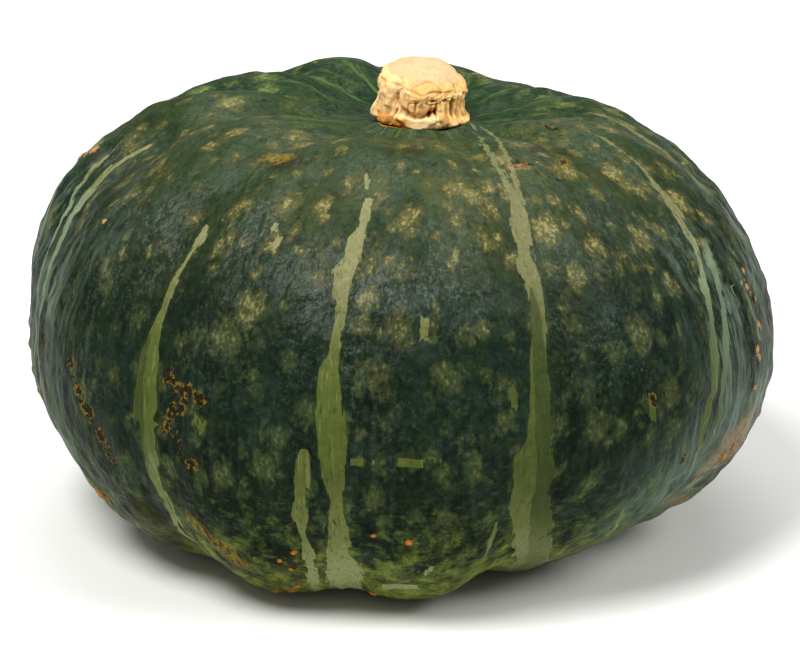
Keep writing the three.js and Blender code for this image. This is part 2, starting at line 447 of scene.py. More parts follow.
# Thinner strokes beside the stripes, written in the same way.
strands = {
    "centreBeside": [
        (-13.8, 90, 0.7), (-13.8, 93, 1.4), (-14.2, 97, 1.6), (-14.4, 101, 1.1), (-15, 105, 1.7),
        (-15.1, 109, 1), (-14.8, 113, 0.9), (-14.7, 117, 1.3), (-15, 122, 1.2), (-15.6, 128, 1.1),
        (-17, 140, 0.5),
    ],
    "centreTop": [(-11.4, 30, 0.35), (-10.7, 32, 0.5), (-10, 34.5, 0.35)],
    "rightTopInner": [
        (66, 6, 0.35), (48, 9.5, 0.45), (32, 14.4, 0.5), (28.4, 20, 0.6), (26, 26, 0.6), (24.8, 32, 0.8),
        (24, 38, 0.6),
    ],
    "rightBeside": [
        (64, 56, 0.5), (63.2, 59, 1.4), (62.5, 62, 1.4), (62, 66, 1.5), (60.9, 70, 1.3), (59.9, 74, 1.3),
        (59.2, 78, 1.6), (57.8, 83, 1.3), (56.6, 89, 1.1), (55.4, 96, 0.9), (56, 106, 0.5),
    ],
    "leftBeside": [
        (-86, 44, 0.3), (-85, 52, 0.8), (-82.6, 60, 0.5), (-81, 70, 0.6), (-78.6, 80, 0.8), (-77, 92, 0.5),
    ],
    "farRight": [(68, 68, 0.3), (68.4, 74, 0.7), (69, 83, 0.4)],
    "leftBackBeside": [
        (214.6, 82, 0.4), (215.4, 88, 1.2), (216.2, 98, 1.3), (217, 112, 0.8), (217.6, 124, 0.3),
    ],
    "backBeside": [(163, 70, 0.3), (163.4, 78, 1.1), (164.4, 88, 1.5), (164.6, 100, 0.9), (165, 108, 0.3)],
    "backRightBeside": [(130.6, 60, 0.3), (131.4, 68, 1), (131, 78, 0.7), (130.4, 88, 0.3)],
}

# A third set for strokes that run close beside one of the second set.
threads = {
    "rightTopOuter": [
        (74, 7, 0.3), (54, 11, 0.45), (40, 15.4, 0.5), (33.6, 20, 0.5), (29.6, 26, 0.6), (27.4, 31, 0.6),
        (25.6, 37, 0.5),
    ],
    "lowRight": [(38.4, 112, 0.3), (39.2, 115, 0.6), (41, 121, 0.6), (42.6, 126, 0.4)],
    "lowFront": [(15.2, 109, 0.3), (14.9, 114, 0.6), (14.4, 120, 0.3)],
    "leftFold": [(-90, 58, 0.3), (-88, 66, 0.6), (-86, 76, 0.6), (-84, 88, 0.3)],
}

# Where a stripe is a darker green, again in the same way.
shades = {
    "leftFront": [
        (-41.5, 72, 0.4), (-42, 78, 1.3), (-42.1, 84, 1.6), (-42.3, 89, 1.7), (-41.4, 91, 0.8),
        (-41.3, 98, 0.7), (-41.6, 106, 0.3),
    ],
    "rightFront": [
        (22, 56, 0.3), (21.7, 60, 1.1), (21.3, 66, 1.4), (21, 72, 1.6), (20.9, 80, 1.9), (20.8, 88, 2.1),
        (21.6, 92, 2.5), (22.1, 104, 2.7), (23.4, 112, 2.7), (25, 120, 2.7), (27.6, 128, 2.4),
        (30.6, 140, 1.6),
    ],
    "rightBeside": [
        (64, 54, 1), (62, 64, 2.4), (60, 74, 2.4), (57.8, 83, 2.2), (56.6, 89, 2), (55.4, 98, 1.6),
    ],
    "back": [(158.4, 76, 0.4), (159, 86, 1.2), (158.4, 98, 0.8), (158.6, 108, 0.3)],
}

# Short dabs: azimuth, polar, half length, half width, and how far the dab leans from upright, in degrees.
dabs = [
    (3.4, 64, 2.2, 0.9, 4), (-24.2, 49, 1.6, 0.9, 8), (16.5, 79.4, 2.6, 0.8, 0), (1.4, 92, 1.1, 3.0, 4),
    (-6.2, 92, 0.9, 1.5, 0), (38.8, 86.5, 2.6, 1.2, 0), (-30.6, 86.6, 1.5, 0.8, 8),
    (-29.5, 88.4, 1.7, 0.8, 6), (0.8, 127.5, 1.5, 4, -18), (5.2, 119, 2, 0.7, 6), (9, 49, 1.4, 0.5, 4),
    (-26, 45.5, 1, 0.5, 0), (47, 71, 1.2, 0.5, 0), (104, 82, 2.2, 0.8, 4), (112, 60, 1.6, 0.7, -4),
    (138, 92, 2.8, 0.9, 2), (147, 70, 1.4, 1.6, 8), (172, 84, 1, 2.6, 0), (177, 110, 2.6, 0.8, -6),
    (203, 74, 2.4, 0.9, 0), (209, 98, 1.1, 2.2, 6), (236, 84, 2.2, 1, 8), (243, 66, 1.6, 0.7, -3),
    (266, 92, 2.6, 0.9, 0), (273, 72, 1.2, 2, -5), (80, 100, 2, 0.8, 6), (62, 118, 2.2, 0.9, 12),
]

# Sunken scars with a yellow rim: azimuth, polar, half length, half width, lean.
scars = [
    (-36.8, 79.6, 1.6, 0.9, 8), (-34.9, 81.2, 1.1, 0.9, 40), (-32.9, 81.4, 1.4, 1.6, 0),
    (-30.4, 82.6, 1.2, 1.2, 0), (-33.4, 85.4, 1.5, 1, 10), (-35.6, 86.6, 2, 0.9, 8), (-36.2, 90, 1.2, 1.3, 0),
    (-33.6, 92.6, 1.7, 0.7, 30), (-31.6, 96.8, 1.3, 1.4, 20), (-57.6, 84, 1.5, 1.3, -12),
    (-55, 88.4, 1.5, 1.3, -30), (-52.9, 92.4, 1.8, 1.5, -30), (-51.2, 97.2, 2.1, 1.5, -24),
    (-49.4, 102.6, 2, 1.2, -20), (47.6, 102.6, 1.5, 1, 0), (39.4, 84.4, 2.2, 0.8, -14),
    (70.6, 17.8, 3.6, 0.7, 30), (-38, 29.5, 1.6, 1.8, 20), (-70, 84, 1.4, 0.8, 0), (118, 88, 1.8, 1, 12),
    (121.6, 93, 1.4, 1.2, 0), (196, 92, 1.4, 1.2, 0), (197.6, 96.4, 2, 0.8, 18), (234, 104, 1.4, 0.9, 0),
    (152, 106, 1.2, 1, 0), (32.6, 27.6, 1.6, 2.4, 0), (46.4, 29, 1.4, 1.4, 0),
]

# Small corky warts: azimuth, polar, radius.
warts = [
    (-17, 116.6, 0.8), (-19.6, 118.6, 0.8), (-18.3, 122, 0.8), (-15.8, 121, 0.6), (-18.7, 129.6, 1.2),
    (-21, 133, 1.4), (-24.6, 134, 1.6), (-11, 134, 1), (-3.9, 109.6, 0.8), (1.4, 110.6, 1),
    (-4.4, 133.4, 1.3), (70, 66.6, 0.9), (69, 70, 1), (71.4, 73.6, 1.1), (69.3, 79, 1), (70.6, 80.4, 0.9),
    (66.9, 84, 1.2), (67.6, 86.4, 0.9), (66.2, 93, 0.8), (63.6, 110, 1.4), (60, 116, 1), (-76, 99, 1),
    (-62.6, 117, 2.1), (-60.4, 119.4, 1.2), (-88, 88, 1.6), (-88, 93, 1.2), (-86, 97.6, 1.3),
    (-84.6, 102, 1.1), (86, 100, 1.2), (84, 104, 1.6), (81, 107.6, 1.3), (110, 112, 1), (142, 118, 1.1),
    (148, 121, 0.8), (184, 116, 1.2), (207, 110, 0.9), (240, 118, 1.4), (244, 121, 0.9), (262, 108, 1),
    (-63, 56, 0.8), (-90, 50, 1.6), (-92, 53, 1.2),
]

# Patches where the rind is scuffed to cork: azimuth, polar, half length, half width, lean.
scuffs = [
    (-36, 5.5, 1.0, 5.2, 0), (-32.8, 113.4, 5, 2.8, -42), (-28.2, 119, 6.5, 3.4, -44),
    (-38, 28.6, 2.2, 3.6, 0), (66, 107, 9, 9, 14), (61, 113.4, 2.4, 1.2, 20), (66, 126, 2.6, 6, 30),
    (-84, 101, 7, 2.4, 8), (-66, 118, 2.4, 3, 0), (31, 28, 2, 3, 0), (150, 112, 7, 3, 8), (205, 34, 3, 4, 0),
    (232, 120, 8, 2, -12), (-71, 17, 1.6, 3, 0),
]

# Olive-brown bruises, written as the scuffs are.
bruises = [
    (-47, 117, 9, 9, -24), (-52, 128, 7, 12, 0), (-36, 30, 4, 9, 0), (50, 24, 5, 8, 10), (-4, 22, 3, 6, 0),
    (72, 112, 6, 8, 20), (166, 108, 8, 6, 0), (214, 52, 5, 9, 10), (255, 112, 7, 8, 0), (118, 40, 4, 8, 0),
]


farOff, noWidth = 50.0, -100.0  # what the fields hold where no stroke or mark is near


# For each vertex, the stroke that covers it best: how far across it the vertex lies and the stroke's half
# width there. Beyond the reach, the offset and the width take far values, so that no false edge appears.
def strokeField(strokes, azimuth, polar, radius, perDegree, reach=6.5):
    degrees, fall = np.degrees(azimuth), np.degrees(polar)
    best = np.full(degrees.shape, -1e9)
    offset = np.full(degrees.shape, farOff)
    half = np.full(degrees.shape, noWidth)
    for run in strokes.values():
        turnAt, fallAt, halfAt = np.array(run, float).T
        centre = np.interp(fall, fallAt, turnAt)
        slope = (np.interp(fall + 0.5, fallAt, turnAt) - np.interp(fall - 0.5, fallAt, turnAt)) * radius
        slope = np.radians(slope) / perDegree
        across = np.radians(turned(degrees - centre)) * radius / np.sqrt(1 + slope**2)
        past = np.maximum(fallAt[0] - fall, fall - fallAt[-1]).clip(0) * perDegree
        width = np.interp(fall, fallAt, halfAt) - 2.5 * past
        near = (width - np.abs(across) > best) & (np.abs(across) < reach) & (past < 2)
        best = np.where(near, width - np.abs(across), best)
        offset = np.where(near, across, offset)
        half = np.where(near, width, half)
        aside = ~near & (best < -1e8)
        offset = np.where(aside, np.where(across < 0, -farOff, farOff), offset)
    return np.stack([offset, half, np.zeros_like(half)], -1)


# For each vertex, its place in the frame of the nearest mark: along and across it in millimetres, and the
# mark's half width. The place along is shortened so that the mark's outline is one round or square.
def markField(marks, azimuth, polar, radius, perDegree, reach):
    degrees, fall = np.degrees(azimuth), np.degrees(polar)
    best = np.full(degrees.shape, reach)
    field = np.stack([np.full(degrees.shape, value) for value in (farOff, farOff, noWidth)], -1)
    for mark in marks:
        turn, drop, halfLength = mark[:3]
        halfWidth, lean = mark[3:] if len(mark) > 3 else (halfLength, 0)
        side = np.radians(turned(degrees - turn)) * radius
        down = (fall - drop) * perDegree
        tilt = math.radians(lean)
        across = side * math.cos(tilt) + down * math.sin(tilt)
        along = (down * math.cos(tilt) - side * math.sin(tilt)) / halfLength * halfWidth
        far = np.hypot(along, across) / halfWidth
        near = far < best
        best = np.where(near, far, best)
        spot = np.stack([along, across, np.full(along.shape, float(halfWidth))], -1)
        field = np.where(near[..., None], spot, field)
        aside = (far >= reach) & (far < 2 * reach) & (field[..., 2] < 0)
        away = [np.sign(along) * farOff, np.sign(across) * farOff, np.full(along.shape, noWidth)]
        field = np.where(aside[..., None], np.stack(away, -1), field)
    return field


# The rind's colours, as hex codes from its ground up, then its roughness and its gloss.
rindLook = {
    "ground": "0b150b",
    "groundCool": "0f1c15",
    "groundWarm": "1d260c",
    "crown": "2c3d1f",
    "crownWarm": "3f451f",
    # painted shade: a darker green on the crown behind the stem, where less light falls
    "verdant": "0f2a15",  # behind the stem
    "skirt": "66752a",
    "skirtEdgeAndBounce": "8b9240",
    "blotchPale": "34452c",
    "blotchDark": "060c07",
    "dotPale": "2c3a2a",
    "dotDark": "060c08",
    "bruise": "201f09",
    "ray": "56702e",
    "halo": "172210",
    "haloTop": "3b3a17",
    "speckleTop": "5c5428",
    "speckleMiddle": "323a1f",
    "speckleLow": "2e411f",
    "speckleWarm": "484221",
    "verdantSpeckle": "42602a",
    "core": "877f50",
    "coreLow": "4b5533",
    "verdantCore": "727f40",
    "dash": "67763a",
    "streakPale": "4a5f46",
    "streakDark": "0b160d",
    "paintedSheenRight": "5f7268",
    "seamPaleAndSheen": "647664",
    "seamDark": "0b150e",
    "thinSeamAndSheen": "788a78",
    "paintedGlint": "4c5a50",
    "stripeTop": "73714d",
    "stripeMiddle": "464f22",
    "stripeLowAndBounce": "6c7342",
    "stripeFoot": "8e9468",
    "stripeVein": "38421c",
    "stripeSheen": "84855c",
    "stripeDot": "5c6638",
    "stripeEdge": "28361a",
    "stripeShade": "2b3518",
    "stripeShadeRight": "262f16",
    "stripeLightLeft": "929a6c",
    "stripeFlankSheen": "80917c",
    "slit": "1e2810",
    "scarRim": "6c581e",
    "scarPit": "1a120c",
    "wart": "9a7448",
    "wartLow": "a0601e",
    "wartCore": "c79a5c",
    "scuff": "7a661e",
    "scuffRight": "8c6e4a",
    "sap": "a8701c",
    "scratch": "7c8670",
    "blossom": "8d7046",
    "blossomCrumb": "3c2812",
    "roughness": 0.4,
    "gloss": (0.025, 0.17),  # of the bare rind, and of the bloom on it
}


# The places that the rind's paints share: the object's own, those that the mesh keeps, and how many
# millimetres a point lies left of the fruit's axis and behind it.
def rindPlaces(pen):
    at = SimpleNamespace(pen=pen)
    at.spot = pen.node("ShaderNodeTexCoord", output="Object")
    at.grain = pen.kept("grainPlace")
    at.ray = pen.kept("rayPlace")
    at.fall, at.stemNear, at.flank = pen.kept("fallPlace").parts()
    at.leftward, at.backward, _ = at.spot.stretched((-1 / mm, 1 / mm, 0)).parts()
    return at


# Blocky steps for the strokes' edges: the random share of square cells that are long down the fruit.
def addSteps(at):
    coarse = at.grain.stretched((1, 1, 0.2)).cells(1.9, metric="CHEBYCHEV")
    fine = at.grain.stretched((1, 1, 0.26)).cells(0.7, metric="CHEBYCHEV", move=(3, 7, 1))
    at.step = coarse["Color"].parts()[0] - 0.5
    at.fineStep = fine["Color"].parts()[0] - 0.5
    at.waver = at.grain.noise(6, 1) - 0.5


# How deep inside a stroke a point lies: its half width less the distance across it, plus ragged steps.
def strokeDepth(at, name, raggedness):
    offset, half, _ = at.pen.kept(name).parts()
    across = abs(offset + at.waver * (raggedness * 0.7))
    return half - across + (at.step + at.fineStep * 0.35) * raggedness


# How far from a mark's middle a point lies, as a share of the mark's half width, and a share that is 0 where
# no mark is near.
def markDistance(at, name):
    along, across, half = at.pen.kept(name).parts()
    return (along * along + across * across) ** 0.5 / half, half.ramp(0, 0.1)


# The share of pale strokes and dabs: the greatest of them all. A dab is a box, half as ragged as a stripe.
def addPale(at):
    at.stripeDepth = strokeDepth(at, "stripeLine", 0.85 + 0.7 * at.fall.ramp(1.45, 1.8))
    at.stripe = at.stripeDepth.ramp(-0.1, 0.1)
    strand = strokeDepth(at, "strandLine", 0.9).ramp(-0.12, 0.12)
    thread = strokeDepth(at, "threadLine", 0.5).ramp(-0.14, 0.14)
    along, across, half = at.pen.kept("dabPlace").parts()
    dabDepth = half - abs(along).most(abs(across)) + at.step * 0.5 + at.fineStep * 0.5
    at.pale = at.stripe.most(strand).most(thread).most(dabDepth.ramp(-0.12, 0.12))


# The rind's paints follow, in the order in which they lie. Each gives pairs of a share and a colour.


# The ground: greens mottled by three sizes of noise, paler on the crown, with painted shade that makes it
# darker and greener behind the stem, yellower on the skirt, browner on bruises, with thin rays that run out
# of the stem's dimple.
def groundPaints(at):
    grain, fall = at.grain, at.fall
    mottleWide = grain.noise(26, 3, 0.55)
    mottle = at.mottle = grain.noise(6, 3, 0.6, (5, 1, 2))
    dots = at.dots = at.spot.noise(1.6 * mm, 3, 0.65)
    yield mottleWide.ramp(0.42, 0.66), "groundCool"
    yield mottle.ramp(0.5, 0.78) * 0.55, "groundWarm"
    crown = at.crown = fall.ramp(1.25, 0.35)
    crownPatch = grain.noise(17, 2, 0.5, (9, 4, 3)).ramp(0.5, 0.72)
    yield crown * (0.55 + 0.4 * mottle), "crown"
    yield crown * crownPatch * 0.7, "crownWarm"
    # painted shade: the crown behind the stem is painted a darker green, where it is lit less
    behind = (at.leftward * 0.06 + at.backward + (mottleWide - 0.5) * 34).ramp(-10, 20)
    verdant = at.verdant = behind * fall.ramp(1.25, 0.75)
    yield verdant * 0.9, "verdant"
    skirtPatch = grain.noise(5.5, 4, 0.65, (2, 7, 4))
    skirt = (fall + (mottleWide - 0.5) * 0.5 + (skirtPatch - 0.5) * 1.5).ramp(1.85, 2.4)
    skirt = skirt * (1 - 0.7 * at.leftward.ramp(-20, -46))
    yield skirt * (0.3 + 0.65 * skirtPatch.ramp(0.36, 0.62)), "skirt"
    # the paler edge at the base is partly the rind's own tone and partly painted bounce light from the floor
    yield (fall + (skirtPatch - 0.5) * 0.7).ramp(2.0, 2.4) * 0.6, "skirtEdgeAndBounce"
    blotch = at.blotch = grain.noise(4.4, 3, 0.62, (3, 3, 9))
    yield blotch.ramp(0.52, 0.72) * (0.12 + 0.2 * crown), "blotchPale"
    yield blotch.ramp(0.5, 0.3) * (0.75 - 0.35 * crown), "blotchDark"
    lower = fall.ramp(1.0, 1.5)
    yield dots.ramp(0.5, 0.8) * (0.3 + 0.14 * crown + 0.12 * lower), "dotPale"
    yield dots.ramp(0.5, 0.28) * (0.56 + 0.24 * lower), "dotDark"
    far, onBruise = markDistance(at, "bruisePlace")
    at.bruise = (far + (mottle - 0.5) * 0.8).ramp(1.2, 0.4) * onBruise
    yield at.bruise * 0.85, "bruise"
    rays = at.ray.stretched((13, 13, 1.2)).noise(1, 3, 0.65).ramp(0.54, 0.7) * at.stemNear.ramp(0.05, 0.5)
    yield rays * (0.3 + 0.3 * verdant), "ray"


# Speckles: ragged clusters in loose cells, whose edges fall apart into crumbs, with a halo and pale cores.
def specklePaints(at):
    grain, fall = at.grain, at.fall
    warped = grain.bent(2.8, 4.4)
    crumb = at.crumb = grain.noise(2.2, 4, 0.78, (6, 2, 7))
    grit = grain.noise(0.9, 1, 0.6, (1, 6, 2))

    # 1 in the middle of a cell and 0 past its reach, which lies between least and most; some are missing
    def cluster(size, move, missing, least, most):
        cells = warped.cells(size, looseness=0.85, move=move)
        chance, bulk, _ = cells["Color"].parts()
        reach = least + (most - least) * bulk
        return (cells["Distance"] * size / reach).ramp(1.15, 0.15) * chance.ramp(missing, missing + 0.2)

    upper = cluster(9.2, (0, 0, 0), 0, 4.6, 7).most(cluster(5.8, (4, 9, 2), 0.15, 2.8, 4.2) * 0.85)
    lower = cluster(6.8, (2, 5, 1), 0, 3.3, 5.2).most(cluster(4.6, (7, 1, 4), 0.2, 2.3, 3.3) * 0.85)
    lowness = fall.ramp(1.05, 1.6)
    body = upper * (1 - lowness) + lower * lowness
    clear = (1 - at.pale) * (fall.ramp(0.14, 0.5) * (1 - 0.45 * fall.ramp(1.75, 2.2)))
    middle = fall.ramp(0.95, 1.3) * fall.ramp(1.95, 1.7)
    at.fleck = (body * 0.62 + crumb * 0.8 + grit * 0.4 + middle * 0.05).ramp(0.86, 1.2) * clear
    glow = (body * 0.5 + crumb * 0.7 + grit * 0.75).ramp(1.14, 1.36) * clear
    speckle = at.pen.plain("speckleTop").painted(fall.ramp(0.5, 1.35), "speckleMiddle")
    speckle = speckle.painted(fall.ramp(1.5, 2.0), "speckleLow")
    speckle = speckle.painted(grain.noise(13, 1, 0.5, (1, 8, 6)).ramp(0.52, 0.75) * 0.4, "speckleWarm")
    # speckles and cores in the painted shade behind the stem take darker, greener shaded copies of their
    # colours
    speckle = speckle.painted(at.verdant * 0.8, "verdantSpeckle")
    core = at.pen.plain("core").painted(fall.ramp(0.75, 1.45), "coreLow")
    core = core.painted(at.verdant * 0.6, "verdantCore")
    halo = at.pen.plain("halo").painted(at.crown, "haloTop")
    yield body * clear * (0.35 + 0.3 * at.crown), halo
    yield at.fleck * 0.7, speckle
    yield glow * 0.66, core


# Streaks: pale dashes across the fruit near its base, the flanks' long grey-green seams, which are stretched
# noise and partly painted sheen, a painted sheen low on the right flank, and painted glints: tiny pale flecks
# in drifts over the upper half.
def streakPaints(at):
    grain, fall = at.grain, at.fall
    drift = at.drift = grain.noise(19, 2, 0.55, (6, 3, 8)).ramp(0.4, 0.62)
    dash = grain.stretched((0.36, 0.36, 1)).noise(1.1, 3, 0.7, (5, 5, 2)).ramp(0.5, 0.7)
    dashes = dash * at.crumb.ramp(0.35, 0.6) * fall.ramp(1.65, 2.05) * (1 - at.pale) * (1 - at.bruise)
    yield dashes * 0.55, "dash"
    bent = grain.bent(18, 7)
    seam = at.seam = bent.stretched((1, 1, 0.09)).noise(3.8, 4, 0.6, (8, 8, 1))
    wide = bent.stretched((1, 1, 0.16)).noise(8, 2, 0.6, (4, 7, 1))
    thinSeamAndSheen = grain.stretched((1, 1, 0.06)).noise(1.7, 2, 0.6, (2, 4, 1))
    along = at.flank * (0.4 + 0.6 * drift) * (1 - at.pale) * (1 - at.bruise)
    yield wide.ramp(0.5, 0.62) * along * 0.4, "streakPale"
    yield wide.ramp(0.5, 0.38) * along * 0.4, "streakDark"
    # painted sheen: a paler grey-green low on the right flank
    lowRight = along * at.leftward.ramp(-30, -60) * fall.ramp(1.45, 1.75)
    yield lowRight * 0.4, "paintedSheenRight"
    # the pale seams are partly the rind's own streaks and partly painted sheen along the flanks
    yield seam.ramp(0.48, 0.64) * along * 0.5, "seamPaleAndSheen"
    yield thinSeamAndSheen.ramp(0.54, 0.7) * along * 0.45, "thinSeamAndSheen"
    yield seam.ramp(0.48, 0.34) * along * 0.6, "seamDark"
    # painted glints: tiny pale flecks in drifts over the upper half stand in for highlights on the skin's
    # grain
    paintedGlint = at.spot.noise(1.3 * mm, 3, 0.75, (1, 5, 3)).ramp(0.5, 0.76) * (0.2 + 0.8 * drift) * (1 - at.pale)
    yield paintedGlint * 0.6 * fall.ramp(2.1, 1.0), "paintedGlint"


# A stripe's colours: khaki above to green below and paler again towards the base, partly as painted bounce
# light, streaked along its length by stretched noise, with dark slits and a darker side. Painted shade makes
# it duller on the right, painted light paler low on the left, and painted sheen paler and greyer on the
# flanks.
def stripeTints(at):
    grain, fall = at.grain, at.fall
    streak = at.streak = grain.stretched((1, 1, 0.07)).noise(0.75, 2, 0.6)
    slit = grain.stretched((1, 1, 0.12)).noise(0.6, 2, 0.6, (3, 3, 3))
    yield fall.ramp(0.75, 1.35), "stripeMiddle"
    # the lower stripes are paler partly in their own tone and partly as painted bounce light from the floor
    yield fall.ramp(1.6, 2.1), "stripeLowAndBounce"
    yield fall.ramp(1.95, 2.2) * 0.7, "stripeFoot"
    yield streak.ramp(0.5, 0.75) * 0.5, "stripeVein"
    yield streak.ramp(0.45, 0.25) * 0.4, "stripeSheen"
    yield slit.ramp(0.63, 0.71) * 0.75, "slit"
    yield at.dots.ramp(0.55, 0.75) * 0.25, "stripeDot"
    shade = strokeDepth(at, "shadeLine", 0.5).ramp(-0.14, 0.14)
    yield shade * (0.7 - 0.35 * fall.ramp(1.85, 2.1)), "stripeShade"
    # painted shade: the stripes duller towards the right
    yield at.leftward.ramp(-6, -14) * (1 - at.flank) * 0.3, "stripeShadeRight"
    # painted light: the stripes paler low on the left
    yield at.leftward.ramp(26, 44) * fall.ramp(1.6, 1.75) * 0.12, "stripeLightLeft"
    # painted sheen: the stripes paler and greyer on the flanks
    yield at.flank.ramp(0.5, 1) * 0.4, "stripeFlankSheen"


# The stripes, with a dim edge on the ground beside them.
def stripePaints(at):
    edge = at.stripeDepth.ramp(-1.6, 0) * (1 - at.stripe)
    yield edge * 0.22, "stripeEdge"
    yield at.pale * 0.94, at.pen.plain("stripeTop").layered(stripeTints(at))


# Scars are dark pits in a yellow, ragged rim; warts are corky dots, redder near the base.
def scarPaints(at):
    far, onScar = markDistance(at, "scarPlace")
    crumbs = at.spot.noise(1.3 * mm, 2, 0.6, (3, 8, 1))
    crumbsToo = at.spot.noise(1.1 * mm, 1, 0.5, (9, 2, 6))
    far = far + (crumbs - 0.5) * 2.6
    at.scarRim = far.ramp(1.35, 0.95) * onScar * crumbsToo.ramp(0.38, 0.52)
    at.scarPit = (far + (crumbsToo - 0.5) * 2).ramp(0.95, 0.65) * onScar
    yield at.scarRim * 0.75, "scarRim"
    yield at.scarPit * 0.92, "scarPit"
    shreds = at.grain.noise(1.05, 2, 0.7, (2, 2, 2))
    far, onWart = markDistance(at, "wartPlace")
    far = far + (shreds - 0.5) * 0.9
    at.wart = far.ramp(1.05, 0.75) * onWart
    wart = at.pen.plain("wart").painted(at.fall.ramp(1.75, 1.95), "wartLow")
    yield at.wart * 0.85, wart
    yield far.ramp(0.5, 0.1) * onWart * 0.4, "wartCore"


# Scuffs are streaks and a net of golden cork, scratches are thin pale lines across the rind, where noise
# passes its middle, and the blossom's scar is a ragged disc of cork in the middle of the underside.
def scuffPaints(at):
    fall = at.fall
    far, onScuff = markDistance(at, "scuffPlace")
    where = (far + (at.mottle - 0.5) * 1.9).ramp(1.25, 0.6) * onScuff
    net = abs(at.grain.noise(1.7, 2, 0.6, (2, 9, 9)) - 0.5).ramp(0.08, 0.02)
    scuff = at.pen.plain("scuff").painted(at.leftward.ramp(0, -30), "scuffRight")
    yield where * (0.2 + 0.8 * net.most(at.streak.ramp(0.5, 0.62))) * 0.78, scuff
    yield where * fall.ramp(0.3, 0.15) * 0.85, "sap"
    place = at.spot.stretched((1 / mm,) * 3)
    lines = abs(place.stretched((0.1, 0.1, 1)).noise(4, 0, 0.5, (4, 4, 4)) - 0.5).ramp(0.026, 0.006)
    scratch = lines * place.noise(9, 1, 0.5, (7, 2, 9)).ramp(0.5, 0.64) * at.flank * fall.ramp(1.7, 2.0)
    yield scratch * 0.7, "scratch"
    ragged = fall + (at.mottle - 0.5) * 0.07
    at.blossom = ragged.ramp(3.045, 3.065)
    yield ragged.ramp(3.02, 3.05) * (1 - at.blossom) * 0.6, "bruise"
    yield at.blossom, "blossom"
    yield at.blossom * at.crumb.ramp(0.5, 0.35) * 0.8, "blossomCrumb"


# The rind's height in millimetres: pebbles, dimples, wrinkles down the fruit, seams, and what the marks add.
def rindHeight(at):
    pebble = at.grain.cells(1.7, feature="SMOOTH_F1", move=(1, 1, 5))
    wrinkle = at.grain.stretched((1, 1, 0.16)).noise(2.2, 2, 0.6)
    height = pebble["Distance"] * 0.36 + at.dots * 0.2 + at.mottle * 1.2 + at.blotch * 0.5
    height = height + wrinkle * (0.2 + 0.3 * at.flank) + at.seam * (0.8 * at.flank)
    return height + at.blossom * at.crumb * 0.9 + at.wart * 0.5 - at.scarPit * 0.35 + at.scarRim * 0.1


# The rind: the ground with each set of marks painted over it in turn. Its gloss goes from the bare rind's to
# the bloom's, which lies on the crown in drifts and on the flanks.
def rindFinish():
    look = rindLook
    material, pen = newFinish("squash rind", look)
    at = rindPlaces(pen)
    addSteps(at)
    addPale(at)
    colour = pen.plain("ground")
    for paints in (groundPaints, specklePaints, streakPaints, stripePaints, scarPaints, scuffPaints):
        colour = colour.layered(paints(at))
    roughness = look["roughness"] + 0.18 * (at.mottle - 0.5) + 0.12 * at.fleck + 0.1 * at.pale
    roughness = roughness + 0.3 * at.wart + 0.2 * at.scarRim
    bloom = (at.fall.ramp(1.4, 0.85) * (0.3 + at.drift * 0.6)).most(at.flank * 0.35)
    bloom = bloom * (1 - at.pale * 0.5) * (1 - at.verdant * 0.7)
    finishSurface(pen, colour, roughness, rindHeight(at), *look["gloss"], bloom)
    return material


# What stands out of the fruit's shape, in millimetres, and where its flanks lie.
fruitRelief = {
    # lumps, dents and grain: the size, height, seed and layers of each noise
    "noises": [(30, 0.7, 3, 3), (12, 0.45, 11, 3), (5, 0.4, 23, 2)],
    "folds": (3.4, 0.35, 31, 2),  # the same for the folds that run down the flanks
    "grainStretch": 1.35,  # how much the rind's grain is drawn out down the fruit
    "wartHeight": 0.8,
    "scarDepth": 0.35,
    # height, radius and width of the rim that the stem sits behind, and the azimuths where it comes in and
    # goes out
    "seatLip": (1.2, 12.8, 2.2, (-80, -50), (60, 110)),
    "inset": 0.35,  # how much the whole skin gives way to the relief
    "middleTurn": -5,  # the azimuth between the flanks, in degrees
    # each flank: degrees from the middle where it comes in, where it weakens, how much it does, how strong
    # it is, and the polar angles where it comes in and goes out
    "flanks": [
        ((43, 70), (84, 112), 0.7, 1, (0.7, 1.1), (2.2, 2.6)),
        ((28, 56), (84, 110), 0.7, 0.8, (1.5, 1.9), (2.3, 2.7)),
    ],
}


# How much each mark lifts or sinks the skin: a soft bell, exp of minus the squared distance over its size.
def markBell(field):
    far = np.hypot(field[..., 0], field[..., 1]) / np.maximum(field[..., 2], 0.1)
    return np.where(field[..., 2] > 0, np.exp(-((far / 1.1) ** 2)), 0)


# How much a point belongs to the flanks: the greatest of their shares, each an ease of the turn from the
# middle that weakens further round, within a band of polar angles.
def flankShare(polar, azimuth):
    aside = np.abs(turned(np.degrees(azimuth) - fruitRelief["middleTurn"]))
    share = np.zeros_like(polar)
    for comesIn, weakens, loss, strength, rise, fall in fruitRelief["flanks"]:
        one = ease(aside, *comesIn) * (1 - loss * ease(aside, *weakens)) * band(polar, rise, fall)
        share = np.maximum(share, strength * one)
    return share


